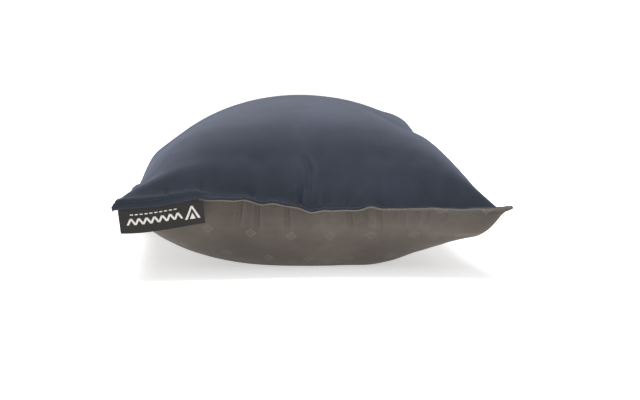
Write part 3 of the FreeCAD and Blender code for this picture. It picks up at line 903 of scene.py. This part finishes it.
def cloth_material(name, base, light, dark, sheen, sheen_tint, rough, lozenges_and_painted_light=False, nap=0.5, weave=0.32, painted_seam_shade=0.2):
    """brushed woven cloth: fine weave, nap, slow colour drift, worn high spots, painted shade in hollows and along
    the seam, and where asked tone-on-tone lozenges, a painted highlight on the folded edge and painted shade towards
    the ground
    """
    m, nt, b = nodes_of(name)
    uv = N_(nt, "ShaderNodeUVMap", uv_map="cloth")
    ob = N_(nt, "ShaderNodeTexCoord")
    # slow drift of the dye and the nap's lay
    slow = N_(nt, "ShaderNodeTexNoise", in_Scale=11.0, in_Detail=4.0, in_Roughness=0.55)
    nt.links.new(ob.outputs["Object"], slow.inputs["Vector"])
    brush = N_(nt, "ShaderNodeMapping")
    brush.inputs["Scale"].default_value = (1.0, 3.5, 2.0)
    nt.links.new(ob.outputs["Object"], brush.inputs["Vector"])
    nap_n = N_(nt, "ShaderNodeTexNoise", in_Scale=75.0, in_Detail=6.0, in_Roughness=0.65, in_Distortion=0.6)
    nt.links.new(brush.outputs[0], nap_n.inputs["Vector"])
    fuzz = N_(nt, "ShaderNodeTexNoise", in_Scale=900.0, in_Detail=3.0, in_Roughness=0.7)
    nt.links.new(ob.outputs["Object"], fuzz.inputs["Vector"])
    # woven threads in cloth coordinates, 10 units per metre
    sep = N_(nt, "ShaderNodeSeparateXYZ")
    nt.links.new(uv.outputs[0], sep.inputs[0])
    pitch = weave / 100.0 * 2
    wx = math_node(nt, "SINE", math_node(nt, "MULTIPLY", sep.outputs[0], 2 * math.pi / pitch))
    wy = math_node(nt, "SINE", math_node(nt, "MULTIPLY", sep.outputs[1], 2 * math.pi / pitch))
    wv = math_node(nt, "MULTIPLY", wx, wy)
    wv01 = math_node(nt, "MULTIPLY_ADD", wv, 0.5)
    nt.nodes[-1].inputs[2].default_value = 0.5
    r = ramp(nt, slow.outputs[0], [(0.30, dark), (0.52, base), (0.74, light)])
    c = mix_col(nt, 0.30, r.outputs[0], base)
    napr = ramp(nt, nap_n.outputs[0], [(0.32, (0.80, 0.80, 0.80, 1)), (0.68, (1.14, 1.14, 1.14, 1))])
    c = mix_col(nt, nap, c, napr.outputs[0], "MULTIPLY")
    wr = ramp(nt, wv01, [(0.0, (0.84, 0.84, 0.84, 1)), (1.0, (1.10, 1.10, 1.10, 1))])
    c = mix_col(nt, 0.55, c, wr.outputs[0], "MULTIPLY")
    # worn, lighter high edges
    geo = N_(nt, "ShaderNodeNewGeometry")
    wear = ramp(nt, geo.outputs["Pointiness"], [(0.50, (0, 0, 0, 1)), (0.60, (1, 1, 1, 1))])
    wf = math_node(nt, "MULTIPLY", wear.outputs[0], 0.30)
    c = mix_col(nt, wf, c, light)
    # painted shade: hollows and creases (low pointiness) are painted darker
    painted_hollow_shade = ramp(nt, geo.outputs["Pointiness"], [(0.40, (1, 1, 1, 1)), (0.495, (0, 0, 0, 1))])
    pf = math_node(nt, "MULTIPLY", painted_hollow_shade.outputs[0], 0.35)
    c = mix_col(nt, pf, c, dark)
    # painted shade: the cloth is painted darker along the sewn edge, where the flange and the gathers shade it
    at = N_(nt, "ShaderNodeAttribute", attribute_name="seam")
    sf = math_node(nt, "MULTIPLY", at.outputs["Fac"], painted_seam_shade)
    c = mix_col(nt, sf, c, (dark[0] * 0.35, dark[1] * 0.35, dark[2] * 0.35, 1))
    if lozenges_and_painted_light:
        # painted highlight: the folded edge is painted lighter, as where the light from above catches it
        fo = N_(nt, "ShaderNodeAttribute", attribute_name="painted_fold_highlight")
        ff = math_node(nt, "MULTIPLY", fo.outputs["Fac"], 0.62)
        c = mix_col(nt, ff, c, (light[0] * 1.1, light[1] * 1.1, light[2] * 1.1, 1))
        # painted shade: darker towards the ground, where little light reaches the belly
        po = nt.nodes.new("ShaderNodeSeparateXYZ")
        nt.links.new(ob.outputs["Object"], po.inputs[0])
        gr = ramp(nt, math_node(nt, "DIVIDE", po.outputs[2], 0.040), [(0.0, (1, 1, 1, 1)), (1.0, (0, 0, 0, 1))])
        painted_ground_shade = math_node(nt, "MULTIPLY", gr.outputs[0], 0.42)
        c = mix_col(nt, painted_ground_shade, c, (dark[0] * 0.5, dark[1] * 0.5, dark[2] * 0.5, 1))
    bump_extra = None
    if lozenges_and_painted_light:
        # faint tone-on-tone lozenges in half-drop repeat, 38 mm apart
        sx = math_node(nt, "DIVIDE", sep.outputs[0], 0.38)
        sy = math_node(nt, "DIVIDE", sep.outputs[1], 0.34)
        row = math_node(nt, "FLOOR", sy)
        off = math_node(nt, "MULTIPLY", math_node(nt, "MODULO", row, 2.0), 0.5)
        fx = math_node(nt, "SUBTRACT", math_node(nt, "FRACT", math_node(nt, "ADD", sx, off)), 0.5)
        fy = math_node(nt, "SUBTRACT", math_node(nt, "FRACT", sy), 0.5)
        dx = math_node(nt, "MULTIPLY", math_node(nt, "ABSOLUTE", fx), 38.0)
        dy = math_node(nt, "MULTIPLY", math_node(nt, "ABSOLUTE", fy), 34.0)
        dist = math_node(nt, "ADD", dx, dy)
        ring_ = math_node(nt, "ABSOLUTE", math_node(nt, "SUBTRACT", dist, 4.4))
        mk = ramp(nt, math_node(nt, "DIVIDE", ring_, 2.0), [(0.05, (1, 1, 1, 1)), (1.0, (0, 0, 0, 1))])
        core = ramp(nt, math_node(nt, "DIVIDE", dist, 3.0), [(0.30, (1, 1, 1, 1)), (0.75, (0, 0, 0, 1))])
        both = math_node(nt, "MAXIMUM", mk.outputs[0], math_node(nt, "MULTIPLY", core.outputs[0], 0.7))
        broken = ramp(nt, nap_n.outputs[0], [(0.34, (0.45, 0.45, 0.45, 1)), (0.62, (1, 1, 1, 1))])
        mf = math_node(nt, "MULTIPLY", math_node(nt, "MULTIPLY", both, broken.outputs[0]), 0.52)
        c = mix_col(nt, mf, c, light)
        bump_extra = both
    nt.links.new(c, b.inputs["Base Color"])
    rr = math_node(nt, "MULTIPLY_ADD", nap_n.outputs[0], 0.16)
    nt.nodes[-1].inputs[2].default_value = rough - 0.08
    nt.links.new(rr, b.inputs["Roughness"])
    b.inputs["Specular IOR Level"].default_value = 0.28
    b.inputs["Sheen Weight"].default_value = sheen
    b.inputs["Sheen Roughness"].default_value = 0.42
    b.inputs["Sheen Tint"].default_value = sheen_tint
    h = math_node(nt, "MULTIPLY", wv01, 0.45)
    h = math_node(nt, "ADD", h, math_node(nt, "MULTIPLY", fuzz.outputs[0], 0.35))
    h = math_node(nt, "ADD", h, math_node(nt, "MULTIPLY", nap_n.outputs[0], 0.9))
    if bump_extra is not None:
        h = math_node(nt, "SUBTRACT", h, math_node(nt, "MULTIPLY", bump_extra, 0.25))
    bp = N_(nt, "ShaderNodeBump", in_Strength=0.35, in_Distance=0.0004)
    nt.links.new(h, bp.inputs["Height"])
    nt.links.new(bp.outputs[0], b.inputs["Normal"])
    return m


def thread_material(name, base, light):
    m, nt, b = nodes_of(name)
    ob = N_(nt, "ShaderNodeTexCoord")
    mp = N_(nt, "ShaderNodeMapping")
    mp.inputs["Rotation"].default_value = (0.5, 0.6, 0.7)
    nt.links.new(ob.outputs["Object"], mp.inputs["Vector"])
    w = N_(nt, "ShaderNodeTexWave", in_Scale=1400.0, in_Distortion=1.5, in_Detail=2.0)
    nt.links.new(mp.outputs[0], w.inputs["Vector"])
    r = ramp(nt, w.outputs[1], [(0.2, base), (0.9, light)])
    nt.links.new(r.outputs[0], b.inputs["Base Color"])
    b.inputs["Roughness"].default_value = 0.55
    b.inputs["Sheen Weight"].default_value = 0.08
    bp = N_(nt, "ShaderNodeBump", in_Strength=0.5, in_Distance=0.0001)
    nt.links.new(w.outputs[1], bp.inputs["Height"])
    nt.links.new(bp.outputs[0], b.inputs["Normal"])
    return m


def woven_material(name, base, light, rough, pitch_mm, satin=False, sheen=0.25):
    """damask label weave in the label's own coordinates (10 units per metre is cm)"""
    m, nt, b = nodes_of(name)
    uv = N_(nt, "ShaderNodeUVMap", uv_map="cloth")
    sep = N_(nt, "ShaderNodeSeparateXYZ")
    nt.links.new(uv.outputs[0], sep.inputs[0])
    k = 2 * math.pi / (pitch_mm / 10)
    weft = math_node(nt, "SINE", math_node(nt, "MULTIPLY", sep.outputs[1], k))
    warp = math_node(nt, "SINE", math_node(nt, "MULTIPLY", math_node(nt, "ADD", sep.outputs[0], math_node(nt, "MULTIPLY", sep.outputs[1], 0.5)), k * 0.5))
    wv = math_node(nt, "ADD", math_node(nt, "MULTIPLY", weft, 0.30), math_node(nt, "MULTIPLY", warp, 0.20 if not satin else 0.06))
    wv = math_node(nt, "ADD", wv, 0.5)
    ns = N_(nt, "ShaderNodeTexNoise", in_Scale=9.0, in_Detail=4.0)
    nt.links.new(uv.outputs[0], ns.inputs["Vector"])
    r = ramp(nt, wv, [(0.1, base), (0.95, light)])
    nr = ramp(nt, ns.outputs[0], [(0.3, (0.86, 0.86, 0.86, 1)), (0.7, (1.08, 1.08, 1.08, 1))])
    c = mix_col(nt, 0.8, r.outputs[0], nr.outputs[0], "MULTIPLY")
    nt.links.new(c, b.inputs["Base Color"])
    rr = math_node(nt, "MULTIPLY_ADD", ns.outputs[0], 0.2)
    nt.nodes[-1].inputs[2].default_value = rough - 0.1
    nt.links.new(rr, b.inputs["Roughness"])
    b.inputs["Sheen Weight"].default_value = sheen
    b.inputs["Sheen Roughness"].default_value = 0.4
    bp = N_(nt, "ShaderNodeBump", in_Strength=0.45, in_Distance=0.00012)
    nt.links.new(wv, bp.inputs["Height"])
    nt.links.new(bp.outputs[0], b.inputs["Normal"])
    return m


def fibre_material(name):
    m, nt, b = nodes_of(name)
    ob = N_(nt, "ShaderNodeTexCoord")
    ns = N_(nt, "ShaderNodeTexNoise", in_Scale=120.0, in_Detail=8.0, in_Roughness=0.7, in_Distortion=2.0)
    nt.links.new(ob.outputs["Object"], ns.inputs["Vector"])
    r = ramp(nt, ns.outputs[0], [(0.3, (0.72, 0.72, 0.70, 1)), (0.7, (0.92, 0.92, 0.91, 1))])
    nt.links.new(r.outputs[0], b.inputs["Base Color"])
    b.inputs["Roughness"].default_value = 0.9
    b.inputs["Sheen Weight"].default_value = 0.4
    bp = N_(nt, "ShaderNodeBump", in_Strength=0.9, in_Distance=0.002)
    nt.links.new(ns.outputs[0], bp.inputs["Height"])
    nt.links.new(bp.outputs[0], b.inputs["Normal"])
    return m


def rgb(r, g, b, k=1.0):
    """display colour 0..255 to linear"""
    def f(c):
        c = c / 255
        return (c / 12.92 if c <= 0.04045 else ((c + 0.055) / 1.055) ** 2.4) * k
    return (f(r), f(g), f(b), 1.0)


NAVY = cloth_material("navy_brushed_cloth", rgb(49, 55, 66), rgb(64, 71, 85), rgb(39, 45, 55), 0.30, rgb(150, 158, 185), 0.82, nap=0.38, painted_seam_shade=0.24)
GREY = cloth_material("grey_brushed_cloth", rgb(96, 89, 82), rgb(124, 117, 109), rgb(79, 73, 67), 0.18, rgb(200, 190, 180), 0.84, lozenges_and_painted_light=True, nap=0.38, painted_seam_shade=0.52)
NAVY_T = thread_material("navy_thread", rgb(34, 39, 48), rgb(50, 56, 68))
GREY_T = thread_material("grey_thread", rgb(92, 86, 80), rgb(124, 117, 110))
LABEL_M = woven_material("label_black_weave", rgb(20, 18, 16), rgb(33, 30, 27), 0.72, 0.55, sheen=0.06)
FIGURE_M = woven_material("label_figure_weave", rgb(196, 192, 184), rgb(236, 233, 226), 0.62, 0.45)
CARE_M = woven_material("care_satin", rgb(176, 175, 170), rgb(204, 203, 199), 0.5, 0.35, satin=True)
FIBRE_M = fibre_material("white_fibre")

for ob, mat, slot_name, body, cad in (
    (top, NAVY, "navy_cloth", "pillow", "top_panel"),
    (bottom, GREY, "grey_cloth", "pillow", "bottom_panel"),
    (fill, FIBRE_M, "white_fibre", "pillow", "fibre_fill"),
    (needle, NAVY_T, "navy_thread", "pillow", "topstitch_needle_thread"),
    (bobbin, GREY_T, "grey_thread", "pillow", "topstitch_bobbin_thread"),
    (seam, GREY_T, "grey_thread", "pillow", "seam_thread"),
    (closing, GREY_T, "grey_thread", "pillow", "closing_thread"),
):
    ob.data.materials.append(mat)
    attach(ob, body)
    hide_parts(cad)


def hinge(name):
    for j in frame["joints"]:
        if j["name"] == name:
            return np.array(j["pos_m"]), np.array(j["axis"])
    raise KeyError(name)


for ob, mat, slot_name, body, cad, joint in (
    (label, LABEL_M, "label_black", "side_tab", "woven_side_label", "side_tab_flap"),
    (figure, FIGURE_M, "label_white", "side_tab", None, None),
    (care, CARE_M, "label_white", "care_tab", "care_label", "care_tab_flap"),
):
    ob.data.materials.append(mat)
    if joint:
        pos, ax = hinge(joint)
        ax = ax / np.linalg.norm(ax)
        down = np.array([0, 0, -1.0])
        down = down - ax * down.dot(ax)
        down /= np.linalg.norm(down)
        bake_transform(ob)
        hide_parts(cad)
    else:
        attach(ob, body)

# ------------------------------------------------------------ floor, light
floor = new_object("floor", [(-60, -60, 0), (60, -60, 0), (60, 90, 0), (-60, 90, 0)], [[0, 1, 2, 3]], smooth=False)
fm, fnt, fb = nodes_of("floor_paper")
fn = N_(fnt, "ShaderNodeTexNoise", in_Scale=3.0, in_Detail=2.0)
fr_ = ramp(fnt, fn.outputs[0], [(0.3, (0.80, 0.80, 0.80, 1)), (0.7, (0.82, 0.82, 0.82, 1))])
fnt.links.new(fr_.outputs[0], fb.inputs["Base Color"])
fb.inputs["Roughness"].default_value = 0.9
fb.inputs["Emission Color"].default_value = (1.0, 1.0, 1.0, 1)
fb.inputs["Emission Strength"].default_value = 0.54
floor.data.materials.append(fm)

world = bpy.data.worlds.new("studio")
world.use_nodes = True
scene.world = world
wn = world.node_tree
bg = wn.nodes["Background"]
bg.inputs[0].default_value = (1.0, 1.0, 1.0, 1)
bg.inputs[1].default_value = 0.60


def area(name, loc, aim, size, power, col=(1, 1, 1)):
    l = bpy.data.lights.new(name, "AREA")
    l.shape = "RECTANGLE"
    l.size, l.size_y = size
    l.energy = power
    l.color = col
    o = bpy.data.objects.new(name, l)
    o.location = loc
    o.rotation_mode = "QUATERNION"
    o.rotation_quaternion = (Vector(aim) - Vector(loc)).to_track_quat("-Z", "Y")
    scene.collection.objects.link(o)
    return o


area("softbox_top", (-0.10, 0.45, 1.4), (0, 0.05, 0.08), (1.2, 1.2), 34, (0.97, 0.95, 1.0))
area("softbox_front", (0.5, -1.8, 0.9), (0, 0, 0.06), (1.2, 0.8), 3, (0.93, 1.0, 0.97))

# ------------------------------------------------------------------ camera
D, ELEV, YAW, F_PX, CX, CZ = 2.1191, 5.5841, -4.7414, 2201.83, 0.0267, 0.0446
cam = bpy.data.cameras.new("camera")
cam.lens = F_PX * 36.0 / 640.0
cam.sensor_width = 36.0
cam.clip_start, cam.clip_end = 0.05, 60
cam_ob = bpy.data.objects.new("camera", cam)
e_, y_ = math.radians(ELEV), math.radians(YAW)
back_v = Vector((math.sin(y_) * math.cos(e_), -math.cos(y_) * math.cos(e_), math.sin(e_)))
cam_ob.location = Vector((CX, MOVE_Y / 1000, CZ)) + back_v * D
cam_ob.rotation_mode = "QUATERNION"
cam_ob.rotation_quaternion = (-back_v).to_track_quat("-Z", "Y")
scene.collection.objects.link(cam_ob)
scene.camera = cam_ob
scene.view_settings.view_transform = "Standard"
scene.view_settings.look = "None"
